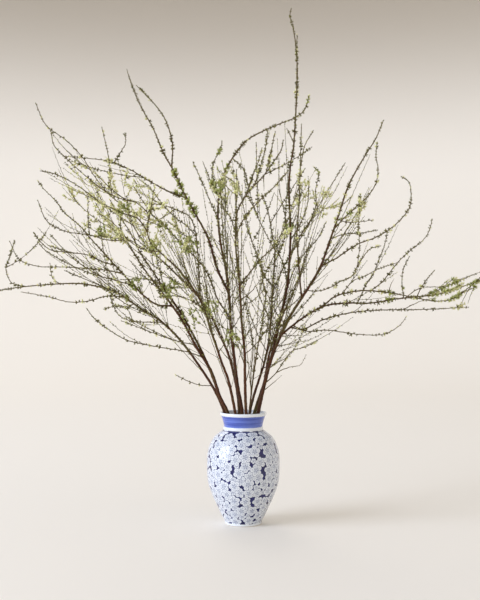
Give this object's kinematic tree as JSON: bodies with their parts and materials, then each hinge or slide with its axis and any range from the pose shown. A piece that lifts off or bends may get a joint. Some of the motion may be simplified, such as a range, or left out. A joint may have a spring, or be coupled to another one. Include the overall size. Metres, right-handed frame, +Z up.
{
  "type": "ikebana arrangement",
  "caption": "Tall fan of budding, finely forked branches standing in water in an ovoid blue and white porcelain vase.",
  "frame": {"origin": "middle of the underside of the vase's foot ring, on the surface it stands on", "axes": "+Z up, +X to the right and -Y towards the viewer, as the arrangement faces"},
  "size_m": [1.3149, 0.7731, 1.3534],
  "materials": {
    "porcelain": "gloss",
    "water": "gloss",
    "bark": "satin",
    "foliage": "satin"
  },
  "bodies": {
    "root": {"vase": "porcelain", "water": "water", "branch_far_left": "bark", "branch_left": "bark", "branch_left_front": "bark", "branch_left_back": "bark", "branch_middle": "bark", "branch_upright": "bark", "branch_thin": "bark", "branch_right_back": "bark", "branch_tallest": "bark", "branch_right": "bark"}
  },
  "joints": []
}
